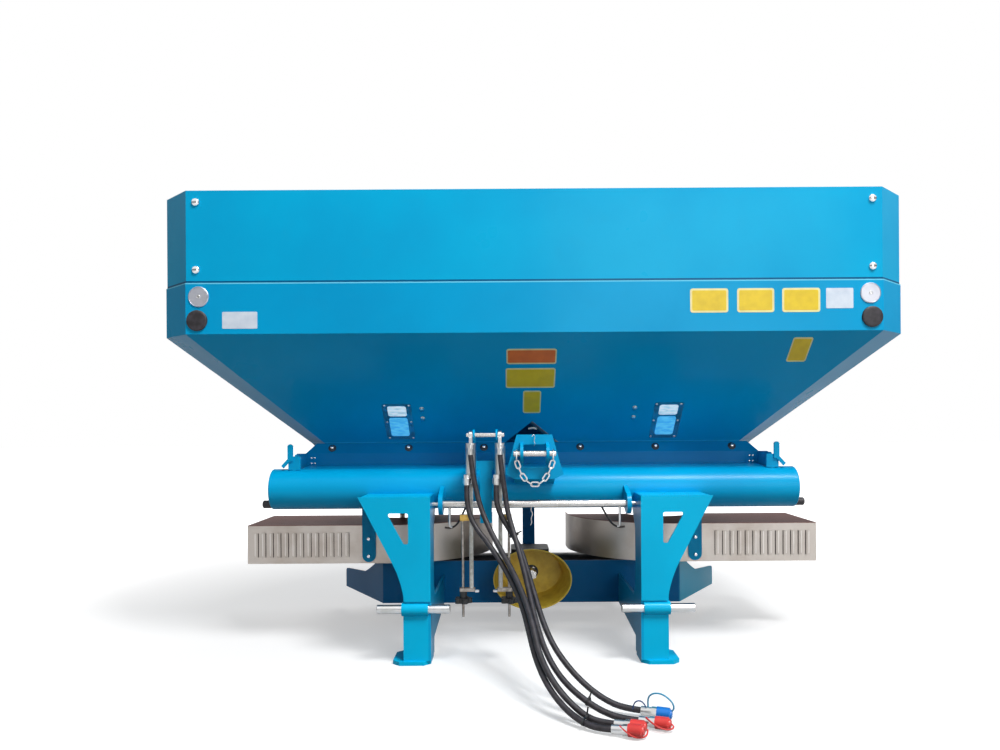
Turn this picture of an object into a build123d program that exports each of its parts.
from build123d import *
import math
import os

os.makedirs("parts", exist_ok=True)

# Mounted twin-disc fertiliser spreader, in millimetres.
# It stands on z = 0. X runs across the machine, -Y points at the tractor and +Z is up.
# The origin is on the ground under the middle of the hopper.

# Hopper: pressed and folded sheet
sheet = 3.0
hopper_width = 2310.0
hopper_length = 1300.0
hopper_corner = 100.0
hopper_foot_z = 677.0
taper_height = 339.0
band_height = 155.0
extension_height = 280.0
extension_overlap = 40.0
rim_lip = 38.0
rim_skirt = 15.0
foot_width = 1562.0
foot_length = 548.0
foot_corner = 59.0
ridge_width = 186.0
ridge_height = 73.0

# Sight windows in the front panel
window_x = 453.0
window_width = 62.0
window_corner = 8.0
upper_window_height = 40.0
lower_window_height = 67.0
window_sill = 39.0
window_bar = 33.0
pane_thickness = 2.0
pane_margin = 18.0

# Spreading discs and the outlets over them
disc_x = 510.0
disc_y = 150.0
disc_z = 300.0
disc_radius = 240.0
disc_thickness = 3.0
disc_hub_radius = 42.0
disc_hub_drop = 18.0
disc_hub_rise = 10.0
vane_tip_radius = 335.0
vane_root_radius = 70.0
vane_height = 45.0
vane_flange = 30.0
vane_sheet = 3.0
vane_count = 2
vane_lead = 35.0
outlet_size = 220.0
outlet_corner = 20.0
outlet_z = 440.0
floor_thickness = 4.0
floor_flange = 12.0
port_inner_radius = 48.0
port_outer_radius = 95.0
port_start = 118.0
port_angle = 34.0
gate_thickness = 4.0
gate_radius = 106.0
gate_arm = 168.0
gate_arm_width = 26.0
gate_eye_radius = 6.0
gate_swing = 76.0
collar_bore = 24.0
collar_radius = 20.0
collar_lip = 5.0
agitator_finger = 85.0
agitator_fingers = 3
agitator_finger_radius = 6.0
agitator_shaft_radius = 10.0
agitator_hub_radius = 22.0
agitator_z = 447.0
agitator_hub_height = 24.0

# Sieve grids and the beam they hinge on
sieve_z = 926.0
sieve_thickness = 8.0
sieve_bar = 6.0
sieve_long_pitch = 46.0
sieve_cross_pitch = 235.0
sieve_frame = 14.0
sieve_inner_x = 48.0
sieve_side_margin = 52.0
sieve_end_margin = 18.0
sieve_corner = 45.0
ledge_width = 42.0
sieve_beam_width = 40.0
sieve_beam_height = 30.0
hinge_x = 33.0
hinge_pin_radius = 5.0
hinge_knuckle_radius = 10.0
hinge_knuckle_length = 20.0
hinge_y = 290.0
hinge_lug = 6.0

# Beams under the hopper, folded from plate
beam_plate = 5.0
beam_half_length = 815.0
beam_web_height = 48.0
front_beam_y = -300.0
front_beam_depth = 83.0
rear_beam_y = 330.0
rear_beam_depth = 52.0
beam_top_half_length = 748.0
beam_end_chamfer = 34.0
beam_return = 20.0

# Main cross tube
tube_radius = 66.5
tube_wall = 8.0
tube_y = -417.0
tube_z = 529.0
tube_half_length = 855.0
tube_cap = 6.0
plug_radius = 13.0
plug_length = 34.0
plug_drop = 50.0
saddle_half_length = 770.0
outer_bracket_x = 785.0
outer_bracket_width = 40.0
bracket_reach = 24.0

# Legs
plate = 8.0
leg_inner_x = 331.0
leg_outer_x = 408.0
leg_front_y = -617.0
leg_box_depth = 109.0
leg_wall = 6.0
leg_top_z = 517.0
leg_top_outer_x = 545.0
leg_knee_x = 440.0
leg_knee_z = 314.0
leg_shin_z = 196.0
leg_box_top_z = 300.0
foot_plate = 12.0
foot_side = 118.0
foot_depth = 135.0
foot_chamfer = 22.0
foot_shift = 14.0
window_leg_inner_x = 391.0
window_leg_outer_x = 457.0
window_leg_bottom_z = 372.0
window_leg_top_z = 467.0
window_leg_corner = 6.0
side_plate_rear_bottom_z = 80.0
side_plate_front_bottom_z = 60.0
side_plate_rear_top_z = 185.0

# Lower link pins and the collars that hold them
link_pin_radius = 14.0
link_seat_radius = 13.8
link_shoulder_gap = 1.0
link_pin_chamfer = 2.0
link_pin_inner_x = 264.0
link_pin_outer_x = 490.0
link_pin_y = -604.0
link_pin_z = 171.0
link_collar_radius = 21.0
link_collar_outer_x = 412.5

# Lower cross plate with its swept wings, and the frame behind it
cross_plate_y = -100.0
cross_plate_half_length = 550.0
cross_plate_bottom_z = 80.0
cross_plate_top_z = 235.0
wing_end_x = 754.0
wing_end_y = 233.0
wing_tip_top_z = 156.0
wing_waist_z = 171.0
wing_shoulder = 0.14
wing_waist = 0.47
wing_corner = 14.0
rail_x = 331.0
rail_width = 50.0
rail_height = 60.0
rail_rear_y = 430.0
cross_member_y = 303.0
cross_member_depth = 60.0
post_side = 50.0
rear_leg_side = 60.0
rear_leg_y = 400.0
carrier_thickness = 10.0
carrier_front_y = 60.0
carrier_rear_y = 240.0
carrier_half_length = 600.0

# Drive line
shaft_z = 195.0
stub_radius = 17.4
spline_depth = 2.6
spline_width = 8.6
spline_length = 76.0
stub_front_y = -172.0
stub_rear_y = 90.0
stub_clearance = 0.4
drive_tube_radius = 30.0
bell_front_width = 276.0
bell_front_height = 213.0
bell_back_width = 226.0
bell_back_height = 168.0
bell_depth = 160.0
bell_wall = 4.0
centre_box = 150.0
side_box = 122.0
side_box_height = 86.0
disc_shaft_radius = 15.0
gearbox_neck_radius = 36.0
gearbox_neck_height = 30.0

# Disc guards, stainless sheet
guard_sheet = 2.0
guard_front_y = -211.0
guard_outer_x = 1015.0
guard_bottom_z = 247.0
guard_top_z = 384.0
guard_radius = 375.0
guard_shift = 14.0
guard_tail_y = 215.0
guard_roof_y = 113.0
guard_roof_clearance = 132.0
guard_side_fold = 24.0
louvre_count = 13
louvre_pitch = 27.0
louvre_inner_x = 653.0
louvre_width = 14.0
louvre_height = 88.0
louvre_rise = 6.0
louvre_skin = 1.2
louvre_z = 313.0
strap_x = 581.0
strap_width = 48.0
strap_thickness = 6.0
strap_bottom_z = 252.0
strap_top_z = 616.0

# Top link bracket, pin and chain
mast_pin_radius = 9.5
mast_pin_z = 647.0
mast_pin_y = -578.0
mast_pin_half_length = 67.0
mast_ear_gap = 71.0
mast_ear = 10.0
mast_ear_radius = 28.0
mast_plate_y = -550.0
mast_plate_top_z = 706.0
mast_plate_bottom_z = 566.0
mast_plate_top_width = 112.0
mast_plate_bottom_width = 182.0
mast_flange_width = 128.0
mast_chamfer = 14.0
mast_window_bottom_z = 604.0
mast_gusset_x = 48.0
chain_links = 9
chain_wire = 4.0
chain_pitch = 22.1
chain_link_width = 17.0
chain_ring_x = 57.0

# Cross shaft in front of the tube
cross_shaft_radius = 12.0
cross_shaft_y = -537.0
cross_shaft_z = 488.0
lug_x = 296.0
lug_thickness = 14.0
lug_radius = 34.0
journal_radius = 6.5

# Shutter cylinders with their rods and adjusters
cylinder_x = (-198.0, -108.0)
cylinder_y = -600.0
cylinder_radius = 16.5
cylinder_bore = 12.5
cylinder_bottom_z = 556.0
cylinder_top_z = 681.0
cylinder_pin_radius = 7.5
cylinder_pin_z = 706.0
cylinder_pin_reach = 14.0
cylinder_eye = 10.0
cylinder_eye_radius = 13.0
cylinder_end = 10.0
port_y = -627.0
port_side = 16.0
port_height = 26.0
port_top_z = 651.0
port_bottom_z = 559.0
lower_port_shift = -11.0
bracket_ear_x = (-188.0, -118.0)
bracket_ear = 6.0
bracket_ear_radius = 17.0
bracket_web_y = -566.0
bracket_web_top_z = 625.0
bracket_web_head = 28.0
bracket_web_width = 37.0
bracket_web_bottom_z = 430.0
rod_radius = 6.5
rod_clearance = 0.3
rod_bottom_z = 231.0
rod_top_z = 600.0
block_depth = 18.0
block_height = 18.0
block_z = 452.0
screw_offset = 26.0
screw_radius = 4.0
screw_bottom_z = 146.0
yoke_z = 230.0
yoke_height = 10.0
yoke_depth = 22.0
knob_radius = 28.0
knob_height = 15.0
knob_z = 197.0
knob_lobes = 5

# Latches at the ends of the front beam
latch_x = 797.0
latch_z = 669.0
latch_radius = 9.0
latch_drop = 46.0
latch_bar = 8.0
latch_thickness = 6.0
latch_lever_x = 30.0
latch_lever_drop = 62.0

# Hydraulic hoses and their couplers
hose_radius = 8.0
ferrule_radius = 11.0
ferrule_length = 26.0
coupler_hex_radius = 13.5
coupler_hex_length = 14.0
cap_radius = 14.5
cap_length = 30.0

running_gap = 0.3
pin_clearance = 0.2

# Heights and lengths that follow from the sizes above
taper_top_z = hopper_foot_z + taper_height
seam_z = taper_top_z + band_height
rim_z = seam_z + extension_height
panel_run = (hopper_length - foot_length) / 2
front_panel = Plane(
    origin=(0, -foot_length / 2, hopper_foot_z),
    x_dir=(1, 0, 0),
    z_dir=(0, -taper_height, -panel_run),
)
rear_panel = Plane(
    origin=(0, foot_length / 2, hopper_foot_z),
    x_dir=(-1, 0, 0),
    z_dir=(0, taper_height, -panel_run),
)
panel_wall = sheet * math.hypot(taper_height, panel_run) / taper_height


def panel_inner_y(z):
    """Distance of the front or rear panel's inner face from the middle plane at height z."""
    return foot_length / 2 + (z - hopper_foot_z) * panel_run / taper_height - panel_wall


def side_inner_x(z):
    """Distance of an end panel's inner face from the middle plane at height z."""
    return foot_width / 2 + (z - hopper_foot_z) * (hopper_width - foot_width) / 2 / taper_height - panel_wall


sieve_outer_x = side_inner_x(sieve_z) - sieve_side_margin
sieve_length = 2 * (panel_inner_y(sieve_z) - sieve_end_margin)


def octagon(width, length, corner):
    """Corner points of a rectangle whose four corners are folded at 45 degrees."""
    x = width / 2
    y = length / 2
    quarter = [(x - corner, y), (x, y - corner)]
    half = quarter + [(px, -py) for px, py in reversed(quarter)]
    return half + [(-px, py) for px, py in reversed(half)]


def save(builder, label):
    """Label a finished piece and write it."""
    builder.part.label = label
    export_step(builder.part, f"parts/{label}.step")


def save_pair(builder, label):
    """Write a piece of the right half and its twin on the left."""
    with BuildPart() as twin:
        mirror(builder.part, about=Plane.YZ)
    save(builder, f"{label}_right")
    save(twin, f"{label}_left")


def save_both(builder, label):
    """Write a piece of the right half and its twin as two solids of one node."""
    with BuildPart() as both:
        add(builder.part)
        mirror(builder.part, about=Plane.YZ)
    save(both, label)


# Hopper body: four folded slopes and the upright band above them
with BuildPart() as hopper_body:
    with BuildSketch(Plane.XY.offset(hopper_foot_z)):
        Polygon(*octagon(foot_width, foot_length, foot_corner), align=None)
    with BuildSketch(Plane.XY.offset(taper_top_z)):
        Polygon(*octagon(hopper_width, hopper_length, hopper_corner), align=None)
    loft(ruled=True)
    with BuildSketch(Plane.XY.offset(taper_top_z)):
        Polygon(*octagon(hopper_width, hopper_length, hopper_corner), align=None)
    extrude(amount=band_height)
    offset(amount=-sheet, openings=hopper_body.faces().filter_by(Axis.Z))
    # The tunnel under the ridge is open towards the tractor.
    with BuildSketch(Plane.XZ):
        Polygon(
            (-ridge_width / 2, hopper_foot_z),
            (ridge_width / 2, hopper_foot_z),
            (0, hopper_foot_z + ridge_height),
            align=None,
        )
    extrude(amount=hopper_length, mode=Mode.SUBTRACT)
    # Two apertures on each side show how full the hopper is.
    lower_window_s = window_sill + lower_window_height / 2
    upper_window_s = window_sill + lower_window_height + window_bar + upper_window_height / 2
    with BuildSketch(front_panel):
        with Locations((-window_x, lower_window_s), (window_x, lower_window_s)):
            RectangleRounded(window_width, lower_window_height, window_corner)
        with Locations((-window_x, upper_window_s), (window_x, upper_window_s)):
            RectangleRounded(window_width, upper_window_height, window_corner)
    extrude(amount=-3 * sheet, mode=Mode.SUBTRACT)
    # Ledges inside the front and rear slopes carry the sieve grids.
    ledge_top_z = sieve_z - running_gap
    ledge_inner_y = panel_inner_y(ledge_top_z) - ledge_width
    ledge_half_length = (sieve_outer_x - sieve_inner_x) / 2 - 60
    for side in (-1, 1):
        with BuildSketch(Plane.YZ.offset(side * (sieve_inner_x + sieve_outer_x) / 2)):
            for end in (-1, 1):
                Polygon(
                    (end * ledge_inner_y, ledge_top_z),
                    (end * (panel_inner_y(ledge_top_z) + 1), ledge_top_z),
                    (end * (panel_inner_y(ledge_top_z - sheet) + 1), ledge_top_z - sheet),
                    (end * ledge_inner_y, ledge_top_z - sheet),
                    align=None,
                )
        extrude(amount=ledge_half_length, both=True)
save(hopper_body, "hopper_body")

# Raised side walls with an inward folded rim
with BuildPart() as hopper_extension:
    with BuildSketch(Plane.XY.offset(seam_z - extension_overlap)):
        Polygon(*octagon(hopper_width, hopper_length, hopper_corner), align=None)
        offset(amount=-sheet, kind=Kind.INTERSECTION)
        offset(amount=-sheet, kind=Kind.INTERSECTION, mode=Mode.SUBTRACT)
    extrude(amount=extension_height + extension_overlap)
    with BuildSketch(Plane.XY.offset(rim_z - sheet)):
        Polygon(*octagon(hopper_width, hopper_length, hopper_corner), align=None)
        offset(amount=-sheet, kind=Kind.INTERSECTION)
        offset(amount=-rim_lip, kind=Kind.INTERSECTION, mode=Mode.SUBTRACT)
    extrude(amount=sheet)
    with BuildSketch(Plane.XY.offset(rim_z - rim_skirt)):
        Polygon(*octagon(hopper_width, hopper_length, hopper_corner), align=None)
        offset(amount=-rim_lip, kind=Kind.INTERSECTION)
        offset(amount=-sheet, kind=Kind.INTERSECTION, mode=Mode.SUBTRACT)
    extrude(amount=rim_skirt)
save(hopper_extension, "hopper_extension")

# Roof-shaped ridge that parts the two compartments
ridge_slope = math.atan2(ridge_height, ridge_width / 2)
with BuildPart() as hopper_ridge:
    with BuildSketch(Plane.XZ):
        Polygon(
            (-ridge_width / 2 - sheet / math.sin(ridge_slope), hopper_foot_z),
            (ridge_width / 2 + sheet / math.sin(ridge_slope), hopper_foot_z),
            (0, hopper_foot_z + ridge_height + sheet / math.cos(ridge_slope)),
            align=None,
        )
        Polygon(
            (-ridge_width / 2, hopper_foot_z),
            (ridge_width / 2, hopper_foot_z),
            (0, hopper_foot_z + ridge_height),
            align=None,
            mode=Mode.SUBTRACT,
        )
    extrude(amount=hopper_length / 2, both=True)
    split(bisect_by=front_panel.offset(-sheet), keep=Keep.BOTTOM)
    split(bisect_by=rear_panel.offset(-sheet), keep=Keep.BOTTOM)
save(hopper_ridge, "hopper_ridge")

# Clear panes over the apertures, riveted to the outside of the front panel
pane_height = lower_window_height + window_bar + upper_window_height + 2 * pane_margin
with BuildPart() as sight_windows:
    with BuildSketch(front_panel):
        pane_s = window_sill - pane_margin + pane_height / 2
        with Locations((-window_x, pane_s), (window_x, pane_s)):
            RectangleRounded(window_width + 2 * pane_margin, pane_height, window_corner)
    extrude(amount=pane_thickness)
save(sight_windows, "sight_windows")


def funnel_outline(inner_x, outer_x, front_y, rear_y, corner):
    """Outline of one funnel: square towards the ridge, folded corners on the outside."""
    return [
        (inner_x, front_y),
        (outer_x - corner, front_y),
        (outer_x, front_y + corner),
        (outer_x, rear_y - corner),
        (outer_x - corner, rear_y),
        (inner_x, rear_y),
    ]


# Funnel from the hopper foot down to the outlet over a disc
with BuildPart() as funnel:
    with BuildSketch(Plane.XY.offset(hopper_foot_z)):
        Polygon(
            *funnel_outline(ridge_width / 2, foot_width / 2, -foot_length / 2, foot_length / 2, foot_corner),
            align=None,
        )
    with BuildSketch(Plane.XY.offset(outlet_z)):
        Polygon(
            *funnel_outline(
                disc_x - outlet_size / 2,
                disc_x + outlet_size / 2,
                disc_y - outlet_size / 2,
                disc_y + outlet_size / 2,
                outlet_corner,
            ),
            align=None,
        )
    loft(ruled=True)
    offset(amount=-sheet, openings=funnel.faces().filter_by(Axis.Z))
save_pair(funnel, "funnel")

# Stainless floor of the outlet with its port and the collar that the shutter turns on
floor_bottom_z = outlet_z - floor_thickness
gate_top_z = floor_bottom_z - running_gap
gate_bottom_z = gate_top_z - gate_thickness
collar_bottom_z = gate_bottom_z - running_gap - floor_thickness
outlet_axis = (disc_x, disc_y)
port_mid_radius = (port_inner_radius + port_outer_radius) / 2
port_width = port_outer_radius - port_inner_radius

with BuildPart() as outlet_floor:
    with BuildSketch(Plane.XY.offset(floor_bottom_z)):
        with Locations(outlet_axis):
            RectangleRounded(outlet_size + 2 * floor_flange, outlet_size + 2 * floor_flange, outlet_corner)
            SlotArc(CenterArc((0, 0), port_mid_radius, port_start, port_angle), port_width, mode=Mode.SUBTRACT)
    extrude(amount=floor_thickness)
    with BuildSketch(Plane.XY.offset(collar_bottom_z)):
        with Locations(outlet_axis):
            Circle(collar_radius)
    extrude(amount=outlet_z - collar_bottom_z)
    with BuildSketch(Plane.XY.offset(collar_bottom_z)):
        with Locations(outlet_axis):
            Circle(collar_radius + collar_lip)
    extrude(amount=floor_thickness)
    with BuildSketch(Plane.XY.offset(collar_bottom_z)):
        with Locations(outlet_axis):
            Circle(collar_bore / 2)
    extrude(amount=outlet_z - collar_bottom_z, mode=Mode.SUBTRACT)
save_both(outlet_floor, "outlet_floors")

# Shutter plate: closed at rest, its slot turns under the port to open
with BuildPart() as gate:
    with BuildSketch(Plane.XY.offset(gate_bottom_z)):
        with Locations(outlet_axis):
            Circle(gate_radius)
            with Locations((0, -gate_arm / 2)):
                Rectangle(gate_arm_width, gate_arm)
            with Locations((0, -gate_arm)):
                Circle(gate_arm_width / 2)
                Circle(gate_eye_radius, mode=Mode.SUBTRACT)
            SlotArc(
                CenterArc((0, 0), port_mid_radius, port_start - gate_swing, port_angle),
                port_width,
                mode=Mode.SUBTRACT,
            )
            Circle(collar_radius + running_gap, mode=Mode.SUBTRACT)
    extrude(amount=gate_thickness)
save_pair(gate, "gate")

# Spreading disc with its hub and the upright shaft that drives it
disc_top_z = disc_z + disc_thickness
shaft_top_z = agitator_z + agitator_hub_height
with BuildPart() as disc:
    with BuildSketch(Plane.XY.offset(disc_z)):
        with Locations(outlet_axis):
            Circle(disc_radius)
    extrude(amount=disc_thickness)
    with BuildSketch(Plane.XY.offset(disc_z - disc_hub_drop)):
        with Locations(outlet_axis):
            Circle(disc_hub_radius)
    extrude(amount=disc_hub_drop + disc_thickness + disc_hub_rise)
    with BuildSketch(Plane.XY.offset(shaft_z)):
        with Locations(outlet_axis):
            Circle(disc_shaft_radius)
    extrude(amount=disc_z - shaft_z)
    with BuildSketch(Plane.XY.offset(disc_z)):
        with Locations(outlet_axis):
            Circle(agitator_shaft_radius)
    extrude(amount=shaft_top_z - disc_z)
save_pair(disc, "disc")

# Throwing vanes: channels that stand on the disc and reach past its rim
with BuildPart() as vanes:
    for turn in range(vane_count):
        vane_angle = vane_lead + turn * 360 / vane_count
        vane_plane = Plane(
            origin=(disc_x, disc_y, disc_top_z),
            x_dir=(math.cos(math.radians(vane_angle)), math.sin(math.radians(vane_angle)), 0),
            z_dir=(0, 0, 1),
        )
        with BuildSketch(vane_plane):
            with Locations(((vane_root_radius + vane_tip_radius) / 2, vane_flange / 2)):
                Rectangle(vane_tip_radius - vane_root_radius, vane_flange)
        extrude(amount=vane_height)
        with BuildSketch(vane_plane.offset(vane_sheet)):
            with Locations(((vane_root_radius + vane_tip_radius) / 2, vane_flange / 2 + vane_sheet)):
                Rectangle(vane_tip_radius - vane_root_radius, vane_flange)
        extrude(amount=vane_height - 2 * vane_sheet, mode=Mode.SUBTRACT)
save_pair(vanes, "vanes")

# Agitator: a hub with fingers that keeps the fertiliser flowing
with BuildPart() as agitator:
    with BuildSketch(Plane.XY.offset(agitator_z)):
        with Locations(outlet_axis):
            Circle(agitator_hub_radius)
            Circle(agitator_shaft_radius, mode=Mode.SUBTRACT)
    extrude(amount=agitator_hub_height)
    for turn in range(agitator_fingers):
        finger_angle = math.radians(turn * 360 / agitator_fingers)
        finger_plane = Plane(
            origin=(
                disc_x + (agitator_shaft_radius + 2) * math.cos(finger_angle),
                disc_y + (agitator_shaft_radius + 2) * math.sin(finger_angle),
                agitator_z + agitator_hub_height / 2,
            ),
            z_dir=(math.cos(finger_angle), math.sin(finger_angle), 0),
        )
        with BuildSketch(finger_plane):
            RegularPolygon(agitator_finger_radius, 8)
        extrude(amount=agitator_finger - agitator_shaft_radius)
save_pair(agitator, "agitator")

# Beam across the hopper that the two sieve grids hinge on
sieve_beam_top_z = sieve_z - hinge_knuckle_radius - 2
hinge_z = sieve_z + sieve_thickness / 2
with BuildPart() as sieve_beam:
    with BuildSketch(Plane.XZ):
        with Locations((0, sieve_beam_top_z - sieve_beam_height / 2)):
            Rectangle(sieve_beam_width, sieve_beam_height)
            Rectangle(sieve_beam_width - 2 * sheet, sieve_beam_height - 2 * sheet, mode=Mode.SUBTRACT)
    extrude(amount=hopper_length / 2, both=True)
    split(bisect_by=front_panel.offset(-sheet), keep=Keep.BOTTOM)
    split(bisect_by=rear_panel.offset(-sheet), keep=Keep.BOTTOM)
    for side in (-1, 1):
        for end in (-1, 1):
            lug_plane = Plane.XZ.offset(-end * hinge_y - hinge_lug / 2)
            with BuildSketch(lug_plane):
                with Locations((side * hinge_x, hinge_z)):
                    Circle(hinge_knuckle_radius)
                Polygon(
                    (side * 4, sieve_beam_top_z),
                    (side * sieve_beam_width / 2, sieve_beam_top_z),
                    (side * (hinge_x + hinge_knuckle_radius), hinge_z),
                    (side * (hinge_x - hinge_knuckle_radius), hinge_z),
                    align=None,
                )
            extrude(amount=hinge_lug)
            pin_length = hinge_lug + hinge_knuckle_length + running_gap
            pin_start = end * (hinge_y + hinge_lug / 2)
            with BuildSketch(Plane.XZ.offset(-pin_start)):
                with Locations((side * hinge_x, hinge_z)):
                    Circle(hinge_pin_radius)
            extrude(amount=end * pin_length)
save(sieve_beam, "sieve_beam")

# Sieve grid: a flat frame with long slots, lifted about its knuckles for cleaning
sieve_width = sieve_outer_x - sieve_inner_x
with BuildPart() as sieve:
    with BuildSketch(Plane.XY.offset(sieve_z)):
        with Locations(((sieve_inner_x + sieve_outer_x) / 2, 0)):
            sieve_plate = Rectangle(sieve_width, sieve_length)
            long_slots = int((sieve_length - 2 * sieve_frame + sieve_bar) // sieve_long_pitch)
            cross_slots = int((sieve_width - 2 * sieve_frame + sieve_bar) // sieve_cross_pitch)
            slot_width = (sieve_length - 2 * sieve_frame + sieve_bar) / long_slots - sieve_bar
            slot_length = (sieve_width - 2 * sieve_frame + sieve_bar) / cross_slots - sieve_bar
            with GridLocations(slot_length + sieve_bar, slot_width + sieve_bar, cross_slots, long_slots):
                Rectangle(slot_length, slot_width, mode=Mode.SUBTRACT)
        # The corners are cut off, with the frame running along the cut.
        with BuildSketch(mode=Mode.PRIVATE) as sieve_outline:
            with Locations(sieve_plate.center()):
                corner_plate = Rectangle(sieve_width, sieve_length)
            chamfer(corner_plate.vertices(), sieve_corner)
        add(sieve_outline.sketch, mode=Mode.INTERSECT)
        with BuildSketch(mode=Mode.PRIVATE) as sieve_rim:
            add(sieve_outline.sketch)
            offset(amount=-sieve_frame, kind=Kind.INTERSECTION, mode=Mode.SUBTRACT)
        add(sieve_rim.sketch)
    extrude(amount=sieve_thickness)
    for end in (-1, 1):
        knuckle_start = end * (hinge_y - hinge_lug / 2 - running_gap)
        with BuildSketch(Plane.XZ.offset(-knuckle_start)):
            with Locations((hinge_x, hinge_z)):
                Circle(hinge_knuckle_radius)
            Polygon(
                (hinge_x, hinge_z - sieve_thickness / 2),
                (sieve_inner_x + 1, hinge_z - sieve_thickness / 2),
                (sieve_inner_x + 1, hinge_z + sieve_thickness / 2),
                (hinge_x, hinge_z + sieve_thickness / 2),
                align=None,
            )
            with Locations((hinge_x, hinge_z)):
                Circle(hinge_pin_radius + pin_clearance, mode=Mode.SUBTRACT)
        extrude(amount=end * hinge_knuckle_length)
save_pair(sieve, "sieve")


def hopper_beam(web_y, depth, outward):
    """Folded channel under the hopper: web, bottom flange with a return, and a flange up to the foot.

    outward is -1 for the beam on the tractor side and 1 for the rear one.
    """
    web_top_z = hopper_foot_z - beam_end_chamfer
    web_bottom_z = web_top_z - beam_web_height
    lean = math.atan2(beam_end_chamfer, abs(web_y) - foot_length / 2)
    foot_y = outward * (foot_length / 2 + running_gap + beam_plate * math.sin(lean))
    inner_y = web_y - outward * depth
    with BuildPart() as beam:
        with BuildSketch(Plane.YZ):
            with BuildLine():
                fold = Polyline(
                    (inner_y, web_bottom_z + beam_return),
                    (inner_y, web_bottom_z),
                    (web_y, web_bottom_z),
                    (web_y, web_top_z),
                    (foot_y, hopper_foot_z),
                )
                offset(fold, amount=beam_plate, side=Side.RIGHT if outward < 0 else Side.LEFT)
            make_face()
        extrude(amount=beam_half_length, both=True)
        # The upper flange is shorter than the web, with its ends cut at 45 degrees.
        with BuildSketch(Plane.XZ):
            for side in (-1, 1):
                Polygon(
                    (side * beam_top_half_length, hopper_foot_z + 1),
                    (side * (beam_top_half_length + beam_end_chamfer + 1), web_top_z),
                    (side * (beam_half_length + 1), web_top_z),
                    (side * (beam_half_length + 1), hopper_foot_z + 1),
                    align=None,
                )
        extrude(amount=hopper_length, both=True, mode=Mode.SUBTRACT)
    return beam


save(hopper_beam(front_beam_y, front_beam_depth, -1), "hopper_beam_front")
save(hopper_beam(rear_beam_y, rear_beam_depth, 1), "hopper_beam_rear")

# Main cross tube with the lugs that carry the cross shaft
tube_axis = (tube_y, tube_z)
with BuildPart() as main_tube:
    with BuildSketch(Plane.YZ):
        with Locations(tube_axis):
            Circle(tube_radius)
            Circle(tube_radius - tube_wall, mode=Mode.SUBTRACT)
    extrude(amount=tube_half_length, both=True)
    for side in (-1, 1):
        with BuildSketch(Plane.YZ.offset(side * lug_x - lug_thickness / 2)):
            with Locations((cross_shaft_y, cross_shaft_z)):
                Circle(lug_radius)
            Polygon(
                (cross_shaft_y, cross_shaft_z - lug_radius),
                (cross_shaft_y, cross_shaft_z + lug_radius),
                (tube_y, tube_z + tube_radius / 2),
                (tube_y, tube_z - tube_radius / 2),
                align=None,
            )
            with Locations(tube_axis):
                Circle(tube_radius, mode=Mode.SUBTRACT)
            with Locations((cross_shaft_y, cross_shaft_z)):
                Circle(journal_radius + pin_clearance, mode=Mode.SUBTRACT)
        extrude(amount=lug_thickness)
save(main_tube, "main_tube")

# Pressed end caps of the tube, each with a black rubber plug low down
with BuildPart() as tube_cap_right:
    with BuildSketch(Plane.YZ.offset(tube_half_length)):
        with Locations(tube_axis):
            Circle(tube_radius)
    extrude(amount=tube_cap)
    fillet(tube_cap_right.edges().sort_by(Axis.X)[-1], tube_cap * 0.8)
save_both(tube_cap_right, "tube_caps")

with BuildPart() as plug:
    with BuildSketch(Plane.YZ.offset(tube_half_length + tube_cap)):
        with Locations((tube_y, tube_z - plug_drop)):
            Circle(plug_radius)
    extrude(amount=plug_length)
    chamfer(plug.edges().sort_by(Axis.X)[-1], 3)
save_both(plug, "drain_plugs")

# Saddle along the top of the tube and the end brackets that carry the hopper beam on it
beam_web_top_z = hopper_foot_z - beam_end_chamfer
beam_web_bottom_z = beam_web_top_z - beam_web_height
beam_face_y = front_beam_y - running_gap
with BuildPart() as beam_bracket:
    with BuildSketch(Plane.YZ):
        Polygon(
            (tube_y, tube_z + tube_radius - 8),
            (tube_y, tube_z + tube_radius - 2),
            (beam_face_y, beam_web_bottom_z + 8),
            (beam_face_y, beam_web_bottom_z + 2),
            align=None,
        )
    extrude(amount=saddle_half_length)
    with BuildSketch(Plane.YZ.offset(outer_bracket_x - plate / 2)):
        Polygon(
            (tube_y - bracket_reach, tube_z + 20),
            (tube_y - bracket_reach, tube_z + tube_radius + 24),
            (tube_y, beam_web_top_z),
            (beam_face_y, beam_web_top_z),
            (beam_face_y, beam_web_bottom_z),
            (tube_y + tube_radius, tube_z),
            align=None,
        )
    extrude(amount=plate)
    with BuildSketch(Plane.XZ.offset(-tube_y + bracket_reach)):
        with Locations((outer_bracket_x, tube_z + tube_radius + 20)):
            Rectangle(outer_bracket_width, 44)
    extrude(amount=-plate)
    with BuildSketch(Plane.YZ):
        with Locations(tube_axis):
            Circle(tube_radius)
    extrude(amount=tube_half_length, mode=Mode.SUBTRACT)
save_both(beam_bracket, "beam_brackets")

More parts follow.
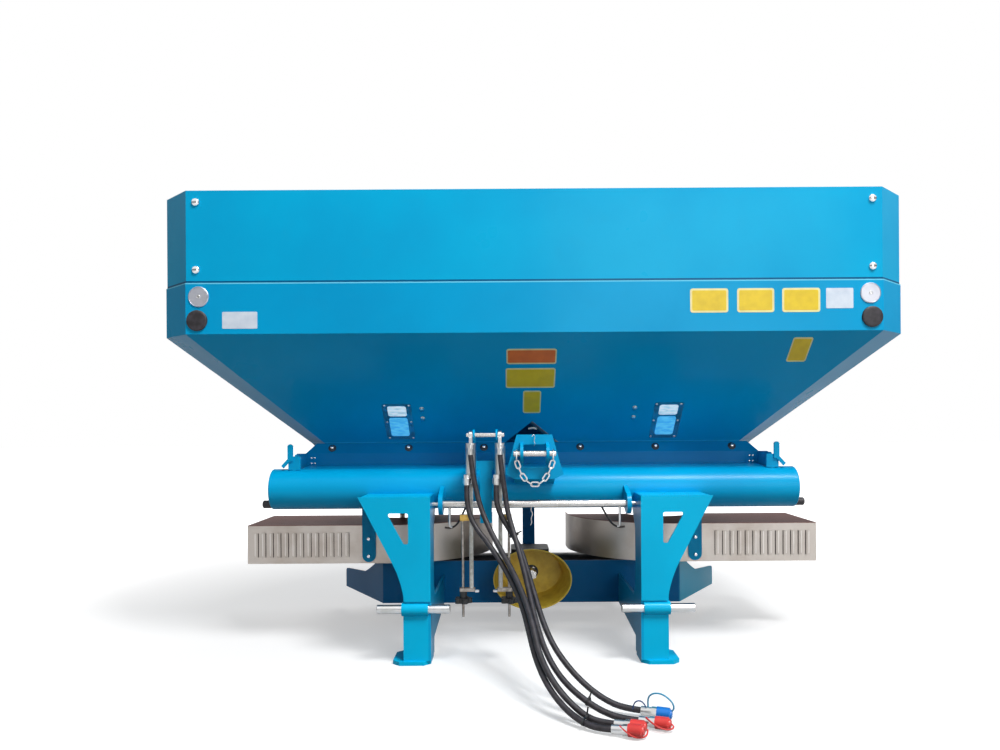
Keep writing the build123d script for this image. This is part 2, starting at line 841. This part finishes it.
# Front leg: slanted face plate, boxed shin, collar for the link pin and a foot
leg_rear_y = leg_front_y + plate + leg_box_depth
link_pin_axis = (link_pin_y, link_pin_z)
slant = Vector(leg_knee_x - leg_top_outer_x, leg_knee_z - leg_top_z).normalized()
with BuildPart() as leg:
    with BuildSketch(Plane.XZ.offset(-leg_front_y - plate)):
        with BuildLine():
            Line((leg_inner_x - plate, leg_shin_z), (leg_inner_x - plate, leg_top_z))
            Line((leg_inner_x - plate, leg_top_z), (leg_top_outer_x, leg_top_z))
            Line((leg_top_outer_x, leg_top_z), (leg_knee_x, leg_knee_z))
            TangentArc((leg_knee_x, leg_knee_z), (leg_outer_x - 4, leg_shin_z), tangent=slant)
            Line((leg_outer_x - 4, leg_shin_z), (leg_inner_x - plate, leg_shin_z))
        make_face()
        with BuildSketch(mode=Mode.PRIVATE) as cut_out:
            Polygon(
                (window_leg_inner_x, window_leg_bottom_z),
                (window_leg_inner_x, window_leg_top_z),
                (window_leg_outer_x, window_leg_top_z),
                (window_leg_inner_x + 14, window_leg_bottom_z),
                align=None,
            )
            fillet(cut_out.vertices(), window_leg_corner)
        add(cut_out.sketch, mode=Mode.SUBTRACT)
    extrude(amount=plate)
    with BuildSketch(Plane.XY.offset(foot_plate)):
        with Locations(((leg_inner_x + leg_outer_x) / 2, leg_front_y + plate + leg_box_depth / 2)):
            Rectangle(leg_outer_x - leg_inner_x, leg_box_depth)
            Rectangle(
                leg_outer_x - leg_inner_x - 2 * leg_wall, leg_box_depth - 2 * leg_wall, mode=Mode.SUBTRACT
            )
    extrude(amount=leg_box_top_z - foot_plate)
    # Shelf that closes the top of the leg against the tube
    with BuildSketch(Plane.XY.offset(leg_top_z - plate)):
        Polygon(
            (leg_inner_x, leg_front_y + plate),
            (leg_top_outer_x - 8, leg_front_y + plate),
            (leg_top_outer_x - 8, tube_y - tube_radius / 2),
            (leg_inner_x, tube_y - tube_radius / 2),
            align=None,
        )
    extrude(amount=plate)
    # Foot with chamfered corners
    foot_centre = ((leg_inner_x + leg_outer_x) / 2 + foot_shift, leg_front_y + foot_depth / 2)
    with BuildSketch(Plane.XY):
        with Locations(foot_centre):
            foot_outline = Rectangle(foot_side, foot_depth)
        chamfer(foot_outline.vertices(), foot_chamfer)
    extrude(amount=foot_plate)
    with BuildSketch(Plane.YZ.offset(leg_inner_x)):
        with Locations(link_pin_axis):
            Circle(link_collar_radius)
    extrude(amount=link_collar_outer_x - leg_inner_x)
    with BuildSketch(Plane.YZ.offset(leg_inner_x - 1)):
        with Locations(link_pin_axis):
            Circle(link_seat_radius + pin_clearance)
    extrude(amount=link_collar_outer_x - leg_inner_x + 2, mode=Mode.SUBTRACT)
    with BuildSketch(Plane.YZ):
        with Locations(tube_axis):
            Circle(tube_radius)
    extrude(amount=tube_half_length, mode=Mode.SUBTRACT)
save_pair(leg, "leg")

# Side plate: ties the leg, the tube and the lower cross plate together
with BuildPart() as side_plate:
    with BuildSketch(Plane.YZ.offset(leg_inner_x - plate)):
        Polygon(
            (leg_front_y + plate, foot_plate),
            (leg_rear_y, foot_plate),
            (leg_rear_y, side_plate_front_bottom_z),
            (cross_plate_y, side_plate_rear_bottom_z),
            (cross_plate_y, side_plate_rear_top_z),
            (leg_rear_y + 36, side_plate_rear_top_z),
            (leg_rear_y, side_plate_rear_top_z + 40),
            (leg_rear_y, leg_top_z - 110),
            (tube_y - 20, leg_top_z - 48),
            (tube_y - 20, leg_top_z),
            (leg_front_y + plate, leg_top_z),
            align=None,
        )
        with Locations(link_pin_axis):
            Circle(link_seat_radius + pin_clearance, mode=Mode.SUBTRACT)
        with Locations(tube_axis):
            Circle(tube_radius, mode=Mode.SUBTRACT)
        with Locations((cross_shaft_y, cross_shaft_z)):
            Circle(journal_radius + pin_clearance, mode=Mode.SUBTRACT)
    extrude(amount=plate)
save_both(side_plate, "side_plates")

# Lower link pin, held in the collar and reaching out on both sides of the leg
with BuildPart() as link_pin:
    with BuildSketch(Plane.YZ.offset(link_pin_inner_x)):
        with Locations(link_pin_axis):
            Circle(link_seat_radius)
    extrude(amount=link_pin_outer_x - link_pin_inner_x)
    with BuildSketch(Plane.YZ.offset(link_collar_outer_x + link_shoulder_gap)):
        with Locations(link_pin_axis):
            Circle(link_pin_radius)
    extrude(amount=link_pin_outer_x - link_collar_outer_x - link_shoulder_gap)
    pin_ends = link_pin.faces().filter_by(Axis.X).sort_by(Axis.X)
    chamfer([*pin_ends[0].edges(), *pin_ends[-1].edges()], link_pin_chamfer)
save_both(link_pin, "lower_link_pins")

# Lower cross plate with two swept wings
wing_direction = Vector(
    wing_end_x - cross_plate_half_length, wing_end_y - cross_plate_y, 0
).normalized()
wing_length = math.hypot(wing_end_x - cross_plate_half_length, wing_end_y - cross_plate_y)
wing_plane = Plane(
    origin=(cross_plate_half_length, cross_plate_y, 0),
    x_dir=wing_direction,
    z_dir=(wing_direction.Y, -wing_direction.X, 0),
)
with BuildPart() as lower_cross_plate:
    with BuildSketch(Plane.XZ.offset(-cross_plate_y)):
        with Locations((0, (cross_plate_bottom_z + cross_plate_top_z) / 2)):
            Rectangle(2 * cross_plate_half_length, cross_plate_top_z - cross_plate_bottom_z)
        with Locations((0, shaft_z)):
            Circle(drive_tube_radius + running_gap, mode=Mode.SUBTRACT)
    extrude(amount=-plate)
    with BuildSketch(wing_plane):
        with BuildLine():
            shoulder = (wing_length * wing_shoulder, cross_plate_top_z - 6)
            waist = (wing_length * wing_waist, wing_waist_z)
            tip_top = (wing_length - wing_corner, wing_tip_top_z)
            tip_side = (wing_length, wing_tip_top_z - wing_corner)
            Line((0, cross_plate_bottom_z), (0, cross_plate_top_z))
            Line((0, cross_plate_top_z), shoulder)
            ThreePointArc(
                shoulder,
                (wing_length * (wing_shoulder + wing_waist) / 2, wing_waist_z + 26),
                waist,
            )
            Line(waist, tip_top)
            RadiusArc(tip_top, tip_side, wing_corner)
            Line(tip_side, (wing_length, cross_plate_bottom_z))
            Line((wing_length, cross_plate_bottom_z), (0, cross_plate_bottom_z))
        make_face()
    extrude(amount=-plate)
    mirror(about=Plane.YZ)
save(lower_cross_plate, "lower_cross_plate")

# Rear frame: two rails, a cross member with the post to the rear beam, and the rear legs
rail_front_y = cross_plate_y + plate
rail_bottom_z = cross_plate_bottom_z
rail_top_z = rail_bottom_z + rail_height
post_top_z = beam_web_bottom_z
with BuildPart() as rear_frame:
    with BuildSketch(Plane.XY.offset(rail_bottom_z)):
        for side in (-1, 1):
            with Locations((side * rail_x, (rail_front_y + rail_rear_y) / 2)):
                Rectangle(rail_width, rail_rear_y - rail_front_y)
        with Locations((0, cross_member_y)):
            Rectangle(2 * rail_x, cross_member_depth)
    extrude(amount=rail_height)
    with BuildSketch(Plane.XY.offset(rail_top_z)):
        with Locations((0, cross_member_y)):
            Rectangle(post_side, post_side)
    extrude(amount=post_top_z - rail_top_z)
    with BuildSketch(Plane.XY.offset(rail_top_z)):
        with Locations((0, (carrier_front_y + carrier_rear_y) / 2)):
            Rectangle(2 * carrier_half_length, carrier_rear_y - carrier_front_y)
    extrude(amount=carrier_thickness)
    with BuildSketch(Plane.XY.offset(foot_plate)):
        with Locations((-rail_x, rear_leg_y), (rail_x, rear_leg_y)):
            Rectangle(rear_leg_side, rear_leg_side)
    extrude(amount=rail_bottom_z - foot_plate)
    with BuildSketch(Plane.XY):
        with Locations((-rail_x, rear_leg_y), (rail_x, rear_leg_y)):
            RectangleRounded(rear_leg_side * 2, rear_leg_side * 2, 12)
    extrude(amount=foot_plate)
save(rear_frame, "rear_frame")

# Gearbox in the middle with its input tube, and one under each disc
carrier_top_z = rail_top_z + carrier_thickness
with BuildPart() as gearbox:
    with BuildSketch(Plane.XY.offset(carrier_top_z)):
        with Locations((0, disc_y)):
            RectangleRounded(centre_box, centre_box, 18)
    extrude(amount=2 * (shaft_z - carrier_top_z) + 10)
    with BuildSketch(Plane.XZ.offset(-rail_front_y)):
        with Locations((0, shaft_z)):
            Circle(drive_tube_radius)
    extrude(amount=rail_front_y - disc_y)
    with BuildSketch(Plane.XZ.offset(-rail_front_y + plate)):
        with Locations((0, shaft_z)):
            Circle(drive_tube_radius)
    extrude(amount=-plate)
    with BuildSketch(Plane.XZ.offset(-cross_plate_y)):
        with Locations((0, shaft_z)):
            Circle(stub_radius + stub_clearance)
    extrude(amount=-(stub_rear_y + running_gap - cross_plate_y), mode=Mode.SUBTRACT)
save(gearbox, "gearbox")

with BuildPart() as disc_gearbox:
    with BuildSketch(Plane.XY.offset(carrier_top_z)):
        with Locations(outlet_axis):
            RectangleRounded(side_box, side_box, 16)
    extrude(amount=side_box_height)
    with BuildSketch(Plane.XY.offset(carrier_top_z + side_box_height)):
        with Locations(outlet_axis):
            Circle(gearbox_neck_radius)
    extrude(amount=gearbox_neck_height)
    with BuildSketch(Plane.YZ.offset(centre_box / 2)):
        with Locations((disc_y, shaft_z)):
            Circle(drive_tube_radius)
    extrude(amount=disc_x - centre_box / 2)
    with BuildSketch(Plane.XY.offset(shaft_z - running_gap)):
        with Locations(outlet_axis):
            Circle(disc_shaft_radius + stub_clearance)
    extrude(amount=disc_z, mode=Mode.SUBTRACT)
save_both(disc_gearbox, "disc_gearboxes")

# Splined drive stub
with BuildPart() as pto_shaft:
    with BuildSketch(Plane.XZ.offset(-stub_rear_y)):
        with Locations((0, shaft_z)):
            Circle(stub_radius)
    extrude(amount=stub_rear_y - stub_front_y)
    with BuildSketch(Plane.XZ.offset(-stub_front_y)):
        with Locations((0, shaft_z)):
            with PolarLocations(stub_radius, 6):
                Rectangle(2 * spline_depth, spline_width)
    extrude(amount=-spline_length, mode=Mode.SUBTRACT)
save(pto_shaft, "pto_shaft")

# Bell guard round the drive stub
with BuildPart() as pto_guard:
    with BuildSketch(Plane.XZ.offset(-cross_plate_y)):
        with Locations((0, shaft_z)):
            Ellipse(bell_back_width / 2, bell_back_height / 2)
    with BuildSketch(Plane.XZ.offset(-cross_plate_y + bell_depth)):
        with Locations((0, shaft_z)):
            Ellipse(bell_front_width / 2, bell_front_height / 2)
    loft()
    offset(amount=-bell_wall, openings=pto_guard.faces().sort_by(Axis.Y)[0])
    with BuildSketch(Plane.XZ.offset(-cross_plate_y + bell_depth)):
        with Locations((0, shaft_z)):
            Circle(stub_radius + 8)
    extrude(amount=-bell_depth, mode=Mode.SUBTRACT)
save(pto_guard, "pto_guard")

# Disc guard: folded roof, louvred front and a tail that wraps round the disc
guard_centre_y = guard_front_y + guard_radius
guard_inner_x = disc_x + guard_shift - guard_radius
with BuildPart() as disc_guard:
    with BuildSketch(Plane.XY.offset(guard_bottom_z)):
        with BuildLine():
            front_line = Line((guard_outer_x, guard_front_y), (disc_x + guard_shift, guard_front_y))
            wrap = TangentArc(front_line @ 1, (guard_inner_x, guard_centre_y), tangent=(-1, 0))
            Line(wrap @ 1, (guard_inner_x, guard_tail_y))
            offset(amount=guard_sheet, side=Side.RIGHT)
        make_face()
    extrude(amount=guard_top_z - guard_bottom_z)
    with BuildSketch(Plane.XY.offset(guard_top_z - guard_sheet)):
        with BuildLine():
            front_line = Line((guard_outer_x, guard_front_y), (disc_x + guard_shift, guard_front_y))
            wrap = TangentArc(front_line @ 1, (guard_inner_x, guard_centre_y), tangent=(-1, 0))
            Line(wrap @ 1, (guard_outer_x, guard_centre_y))
            Line((guard_outer_x, guard_centre_y), front_line @ 0)
        make_face()
        with Locations((0, guard_roof_y + hopper_length / 2)):
            Rectangle(hopper_width * 2, hopper_length, mode=Mode.SUBTRACT)
        with Locations(outlet_axis):
            Circle(guard_roof_clearance, mode=Mode.SUBTRACT)
    extrude(amount=guard_sheet)
    with BuildSketch(Plane.YZ.offset(guard_outer_x)):
        with Locations(((guard_front_y + guard_roof_y) / 2, guard_top_z - guard_side_fold / 2)):
            Rectangle(guard_roof_y - guard_front_y, guard_side_fold)
    extrude(amount=-guard_sheet)
    # Louvres: raised hoods that open towards the middle of the machine
    for number in range(louvre_count):
        hood_x = louvre_inner_x + number * louvre_pitch
        with BuildSketch(Plane.XY.offset(louvre_z - louvre_height / 2)):
            Polygon(
                (hood_x, guard_front_y - louvre_rise),
                (hood_x, guard_front_y + guard_sheet / 2),
                (hood_x + louvre_width, guard_front_y + guard_sheet / 2),
                (hood_x + louvre_width, guard_front_y),
                align=None,
            )
        extrude(amount=louvre_height)
        with BuildSketch(Plane.XY.offset(louvre_z - louvre_height / 2 + louvre_skin)):
            Polygon(
                (hood_x - 1, guard_front_y - louvre_rise + louvre_skin),
                (hood_x - 1, guard_front_y + 2 * guard_sheet),
                (hood_x + louvre_width - 3 * louvre_skin, guard_front_y + 2 * guard_sheet),
                (hood_x + louvre_width - 3 * louvre_skin, guard_front_y),
                align=None,
            )
        extrude(amount=louvre_height - 2 * louvre_skin, mode=Mode.SUBTRACT)
save_pair(disc_guard, "disc_guard")

# Flat straps that hang the guards on the front beam
with BuildPart() as guard_strap:
    with BuildSketch(Plane.XZ.offset(-guard_front_y)):
        with Locations((strap_x, (strap_bottom_z + strap_top_z) / 2 + strap_width / 4)):
            Rectangle(strap_width, strap_top_z - strap_bottom_z - strap_width / 2)
        with Locations((strap_x, strap_bottom_z + strap_width / 2)):
            Circle(strap_width / 2)
    extrude(amount=strap_thickness)
save_both(guard_strap, "guard_straps")

# Top link bracket: a trapezoid plate with two ears, gussets and a flange down to the tube
mast_ear_x = (mast_ear_gap + mast_ear) / 2
mast_axis = (mast_pin_y, mast_pin_z)
with BuildPart() as top_link_bracket:
    with BuildSketch(Plane.XZ.offset(-mast_plate_y)):
        Polygon(
            (-mast_flange_width / 2, mast_plate_bottom_z),
            (mast_flange_width / 2, mast_plate_bottom_z),
            (mast_plate_bottom_width / 2, mast_plate_bottom_z + mast_chamfer),
            (mast_plate_top_width / 2, mast_plate_top_z),
            (-mast_plate_top_width / 2, mast_plate_top_z),
            (-mast_plate_bottom_width / 2, mast_plate_bottom_z + mast_chamfer),
            align=None,
        )
        with Locations((0, (mast_window_bottom_z + mast_pin_z + mast_ear_radius) / 2)):
            Rectangle(mast_ear_gap, mast_pin_z + mast_ear_radius - mast_window_bottom_z, mode=Mode.SUBTRACT)
    extrude(amount=-plate)
    for side in (-1, 1):
        with BuildSketch(Plane.YZ.offset(side * mast_ear_x - mast_ear / 2)):
            with Locations(mast_axis):
                Circle(mast_ear_radius)
            Polygon(
                (mast_pin_y, mast_pin_z + mast_ear_radius),
                (mast_plate_y + plate / 2, mast_pin_z + mast_ear_radius + 8),
                (mast_plate_y + plate / 2, mast_pin_z - mast_ear_radius - 12),
                (mast_pin_y, mast_pin_z - mast_ear_radius),
                align=None,
            )
            with Locations(mast_axis):
                Circle(mast_pin_radius + pin_clearance, mode=Mode.SUBTRACT)
        extrude(amount=mast_ear)
        with BuildSketch(Plane.YZ.offset(side * mast_gusset_x - plate / 2)):
            Polygon(
                (mast_plate_y + plate, mast_plate_bottom_z),
                (mast_plate_y + plate, mast_plate_top_z - 10),
                (tube_y, tube_z + tube_radius + 8),
                (tube_y, tube_z),
                align=None,
            )
            with Locations(tube_axis):
                Circle(tube_radius, mode=Mode.SUBTRACT)
        extrude(amount=plate)
    # Flange folded back from the lower edge to the front of the tube
    with BuildSketch(Plane.YZ.offset(-mast_flange_width / 2)):
        Polygon(
            (mast_plate_y, mast_plate_bottom_z),
            (mast_plate_y, mast_plate_bottom_z + plate),
            (tube_y, tube_z + plate),
            (tube_y, tube_z),
            align=None,
        )
        with Locations(tube_axis):
            Circle(tube_radius, mode=Mode.SUBTRACT)
    extrude(amount=mast_flange_width)
save(top_link_bracket, "top_link_bracket")

with BuildPart() as top_link_pin:
    with BuildSketch(Plane.YZ.offset(-mast_pin_half_length)):
        with Locations(mast_axis):
            Circle(mast_pin_radius)
    extrude(amount=2 * mast_pin_half_length)
    chamfer(top_link_pin.edges(), 1.5)
save(top_link_pin, "top_link_pin")


def catenary(span, length):
    """Sag parameter of a chain of this length hung between two points this far apart."""
    low = span / 20
    high = span * 20
    for _ in range(60):
        middle = (low + high) / 2
        if 2 * middle * math.sinh(span / (2 * middle)) > length:
            low = middle
        else:
            high = middle
    return middle


# Pin chain: a ring on each end of the pin and links that hang between them
ring_radius = mast_pin_radius + 1.5 * chain_wire + 1
ring_z = mast_pin_z + mast_pin_radius + running_gap - ring_radius
chain_span = 2 * chain_ring_x
chain_length = chain_links * chain_pitch
chain_sag = catenary(chain_span, chain_length)
chain_top_z = ring_z - ring_radius
with BuildPart() as pin_chain:
    for side in (-1, 1):
        with BuildSketch(Plane.YZ.offset(side * chain_ring_x - chain_wire / 2)):
            with Locations((mast_pin_y, ring_z)):
                Circle(ring_radius + chain_wire)
                Circle(ring_radius, mode=Mode.SUBTRACT)
        extrude(amount=chain_wire)
    for number in range(chain_links):
        ends = []
        for joint in (number, number + 1):
            arc = joint * chain_pitch - chain_length / 2
            hang_x = chain_sag * math.asinh(arc / chain_sag)
            rise = chain_sag * (math.cosh(hang_x / chain_sag) - math.cosh(chain_span / (2 * chain_sag)))
            ends.append(Vector(hang_x, mast_pin_y, chain_top_z + rise))
        along = ends[1] - ends[0]
        across = Vector(0, 1, 0) if number % 2 == 0 else along.cross(Vector(0, 1, 0))
        link_plane = Plane(origin=(ends[0] + ends[1]) / 2, x_dir=along, z_dir=across)
        with BuildSketch(link_plane.offset(-chain_wire / 2)):
            SlotOverall(along.length + 2 * chain_wire, chain_link_width)
            SlotOverall(along.length, chain_link_width - 2 * chain_wire, mode=Mode.SUBTRACT)
        extrude(amount=chain_wire)
save(pin_chain, "pin_chain")

# Cross shaft with turned journals
shaft_half_length = lug_x - lug_thickness / 2 - running_gap
with BuildPart() as cross_shaft:
    with BuildSketch(Plane.YZ):
        with Locations((cross_shaft_y, cross_shaft_z)):
            Circle(cross_shaft_radius)
    extrude(amount=shaft_half_length, both=True)
    with BuildSketch(Plane.YZ):
        with Locations((cross_shaft_y, cross_shaft_z)):
            Circle(journal_radius)
    extrude(amount=leg_inner_x, both=True)
save(cross_shaft, "cross_shaft")

# Bracket that carries the two shutter cylinders in front of the tube
cylinder_pin_axis = (cylinder_y, cylinder_pin_z)
web_x = (bracket_ear_x[0] + bracket_ear_x[1]) / 2
ear_gap = bracket_ear_x[1] - bracket_ear_x[0]
cylinder_back_y = cylinder_y + cylinder_radius
with BuildPart() as cylinder_bracket:
    for ear_x in bracket_ear_x:
        with BuildSketch(Plane.YZ.offset(ear_x - bracket_ear / 2)):
            with Locations(cylinder_pin_axis):
                Circle(bracket_ear_radius)
            Polygon(
                (cylinder_y, cylinder_pin_z + bracket_ear_radius),
                (cylinder_y + 56, cylinder_pin_z - 6),
                (tube_y, tube_z + tube_radius),
                (tube_y, tube_z),
                (cylinder_back_y + 18, cylinder_top_z - 80),
                (cylinder_back_y + 6, cylinder_pin_z - bracket_ear_radius),
                (cylinder_y, cylinder_pin_z - bracket_ear_radius),
                align=None,
            )
            with Locations(tube_axis):
                Circle(tube_radius, mode=Mode.SUBTRACT)
            with Locations(cylinder_pin_axis):
                Circle(cylinder_pin_radius + pin_clearance, mode=Mode.SUBTRACT)
        extrude(amount=bracket_ear)
    with BuildSketch(Plane.XZ.offset(-bracket_web_y)):
        with Locations((web_x, bracket_web_top_z - bracket_web_head / 2)):
            Rectangle(ear_gap, bracket_web_head)
        with Locations((web_x, (bracket_web_top_z + bracket_web_bottom_z) / 2)):
            Rectangle(bracket_web_width, bracket_web_top_z - bracket_web_bottom_z)
    extrude(amount=-bracket_ear)
save(cylinder_bracket, "cylinder_bracket")

with BuildPart() as cylinder_pin:
    pin_start_x = cylinder_x[0] - cylinder_pin_reach
    with BuildSketch(Plane.YZ.offset(pin_start_x)):
        with Locations(cylinder_pin_axis):
            Circle(cylinder_pin_radius)
    extrude(amount=cylinder_x[1] + cylinder_pin_reach - pin_start_x)
    chamfer(cylinder_pin.edges(), 1.5)
save(cylinder_pin, "cylinder_pin")

# Shutter cylinders: barrel, eye on the pin and two hose ports each
with BuildPart() as shutter_cylinders:
    for barrel_x in cylinder_x:
        with BuildSketch(Plane.XY.offset(cylinder_bottom_z)):
            with Locations((barrel_x, cylinder_y)):
                Circle(cylinder_radius)
        extrude(amount=cylinder_top_z - cylinder_bottom_z)
        with BuildSketch(Plane.YZ.offset(barrel_x - cylinder_eye / 2)):
            with Locations(cylinder_pin_axis):
                Circle(cylinder_eye_radius)
            with Locations((cylinder_y, (cylinder_top_z + cylinder_pin_z) / 2)):
                Rectangle(cylinder_eye_radius * 1.4, cylinder_pin_z - cylinder_top_z)
            with Locations(cylinder_pin_axis):
                Circle(cylinder_pin_radius + pin_clearance, mode=Mode.SUBTRACT)
        extrude(amount=cylinder_eye)
        for port_shift, port_z in ((0, port_top_z), (lower_port_shift, port_bottom_z)):
            with BuildSketch(Plane.XY.offset(port_z)):
                with Locations((barrel_x + port_shift, (port_y + cylinder_y - cylinder_radius) / 2)):
                    Rectangle(port_side, abs(port_y - cylinder_y + cylinder_radius) + port_side)
            extrude(amount=port_height)
        with BuildSketch(Plane.XY.offset(cylinder_bottom_z + cylinder_end)):
            with Locations((barrel_x, cylinder_y)):
                Circle(cylinder_bore)
        extrude(amount=cylinder_top_z - cylinder_bottom_z - 2 * cylinder_end, mode=Mode.SUBTRACT)
        with BuildSketch(Plane.XY.offset(cylinder_bottom_z)):
            with Locations((barrel_x, cylinder_y)):
                Circle(rod_radius + rod_clearance)
        extrude(amount=cylinder_end, mode=Mode.SUBTRACT)
save(shutter_cylinders, "shutter_cylinders")

# Shutter rods with the block, screw, yoke and knob that ride on each
for name, barrel_x, away in (("left", cylinder_x[0], -1), ("right", cylinder_x[1], 1)):
    screw_x = barrel_x + away * screw_offset
    middle_x = (barrel_x + screw_x) / 2
    with BuildPart() as shutter_rod:
        with BuildSketch(Plane.XY.offset(rod_bottom_z)):
            with Locations((barrel_x, cylinder_y)):
                Circle(rod_radius)
        extrude(amount=rod_top_z - rod_bottom_z)
    save(shutter_rod, f"shutter_rod_{name}")
    with BuildPart() as adjuster:
        with BuildSketch(Plane.XY.offset(screw_bottom_z)):
            with Locations((screw_x, cylinder_y)):
                Circle(screw_radius)
        extrude(amount=block_z - screw_bottom_z)
        with BuildSketch(Plane.XY.offset(block_z - block_height / 2)):
            with Locations((middle_x + away * block_depth / 4, cylinder_y)):
                RectangleRounded(screw_offset + block_depth / 2, block_depth, 2)
            with Locations((barrel_x, cylinder_y)):
                Circle(rod_radius, mode=Mode.SUBTRACT)
        extrude(amount=block_height)
        with BuildSketch(Plane.XY.offset(yoke_z - yoke_height / 2)):
            with Locations((middle_x, cylinder_y)):
                RectangleRounded(screw_offset + yoke_depth, yoke_depth, 4)
            with Locations((barrel_x, cylinder_y)):
                Circle(rod_radius, mode=Mode.SUBTRACT)
        extrude(amount=yoke_height)
    save(adjuster, f"adjuster_{name}")
    with BuildPart() as knob:
        with BuildSketch(Plane.XY.offset(knob_z - knob_height / 2)):
            with Locations((screw_x, cylinder_y)):
                Circle(knob_radius * 0.72)
                with PolarLocations(knob_radius * 0.68, knob_lobes):
                    Circle(knob_radius * 0.32)
                Circle(screw_radius, mode=Mode.SUBTRACT)
        extrude(amount=knob_height)
        with BuildSketch(Plane.XY.offset(knob_z + knob_height / 2)):
            with Locations((screw_x, cylinder_y)):
                Circle(knob_radius * 0.4)
                Circle(screw_radius, mode=Mode.SUBTRACT)
        extrude(amount=yoke_z - yoke_height / 2 - knob_z - knob_height / 2)
    save(knob, f"adjuster_knob_{name}")

# Rounded ears with their catch levers at the ends of the front beam
latch_plane = Plane.XZ.offset(-tube_y + bracket_reach)
with BuildPart() as latch:
    with BuildSketch(latch_plane):
        with Locations((latch_x, latch_z)):
            Circle(latch_radius)
        with Locations((latch_x, latch_z - latch_drop / 2)):
            Rectangle(2 * latch_radius, latch_drop)
        Polygon(
            (latch_x, latch_z - latch_drop),
            (latch_x + latch_bar, latch_z - latch_drop + latch_bar),
            (latch_x + latch_lever_x, latch_z - latch_lever_drop),
            (latch_x + latch_lever_x - latch_bar, latch_z - latch_lever_drop - latch_bar),
            align=None,
        )
    extrude(amount=latch_thickness)
save_both(latch, "latches")

# Hydraulic hoses: their routes from the cylinder ports down to the ground
hose_routes = {
    "hose_1": [
        (-198, -627, 651), (-193, -628, 599), (-180, -631, 535), (-163, -642, 472), (-135, -668, 415),
        (-103, -712, 362), (-72, -762, 315), (-49, -812, 273), (-31, -864, 231), (-17, -918, 189),
        (-6, -970, 142), (13, -1018, 105), (38, -1058, 73), (71, -1090, 43), (106, -1116, 21),
        (140, -1134, 14), (170, -1146, 15),
    ],
    "hose_2": [
        (-209, -627, 559), (-211, -628, 514), (-202, -634, 465), (-181, -646, 424), (-149, -669, 388),
        (-116, -702, 347), (-83, -748, 299), (-58, -797, 256), (-40, -848, 214), (-28, -900, 170),
        (-15, -956, 125), (4, -1012, 86), (31, -1063, 53), (65, -1110, 28), (101, -1147, 15),
        (133, -1170, 13), (159, -1180, 15),
    ],
    "hose_3": [
        (-108, -627, 651), (-103, -628, 599), (-94, -629, 538), (-87, -634, 479), (-72, -650, 425),
        (-56, -682, 375), (-43, -724, 329), (-31, -770, 285), (-21, -820, 241), (-9, -874, 195),
        (7, -932, 148), (32, -986, 104), (68, -1032, 68), (113, -1068, 40), (156, -1094, 22),
        (196, -1113, 15), (232, -1128, 16),
    ],
    "hose_4": [
        (-119, -627, 559), (-122, -628, 515), (-111, -628, 470), (-88, -632, 430), (-64, -646, 394),
        (-45, -672, 359), (-30, -713, 316), (-17, -759, 275), (-3, -805, 230), (13, -856, 185),
        (36, -908, 139), (74, -955, 93), (119, -993, 55), (163, -1022, 30), (206, -1043, 17),
        (248, -1058, 16),
    ],
}


def bend_radii(points):
    """Radius at each corner: 0.45 of the shorter run divided by the tangent of half the turn."""
    radii = []
    for before, corner, after in zip(points, points[1:], points[2:]):
        run_in = Vector(*corner) - Vector(*before)
        run_out = Vector(*after) - Vector(*corner)
        half_turn = math.radians(run_in.get_angle(run_out)) / 2
        radii.append(0.45 * min(run_in.length, run_out.length) / math.tan(half_turn))
    return radii


couplers = {}
for name, points in hose_routes.items():
    radii = bend_radii(points)
    with BuildPart() as hose:
        with BuildLine():
            route = FilletPolyline(*points, radius=radii)
        with BuildSketch(Plane(origin=route @ 0, z_dir=route % 0)):
            Circle(hose_radius)
        sweep(path=route)
    save(hose, name)
    share = hose.part.volume / (math.pi * hose_radius**2 * route.length)
    print(name, "length", round(route.length), "volume share", round(share, 4))
    print("radii", [round(radius) for radius in radii])
    couplers[name] = Plane(origin=route @ 1, z_dir=route % 1)

# Quick couplers with their dust caps, one on the end of each hose
with BuildPart() as hose_couplers:
    for end_plane in couplers.values():
        with BuildSketch(end_plane):
            Circle(ferrule_radius)
        extrude(amount=ferrule_length)
        with BuildSketch(end_plane.offset(ferrule_length)):
            RegularPolygon(coupler_hex_radius, 6)
        extrude(amount=coupler_hex_length)
        with BuildSketch(end_plane.offset(ferrule_length + coupler_hex_length)):
            Circle(cap_radius)
        extrude(amount=cap_length)
save(hose_couplers, "hose_couplers")
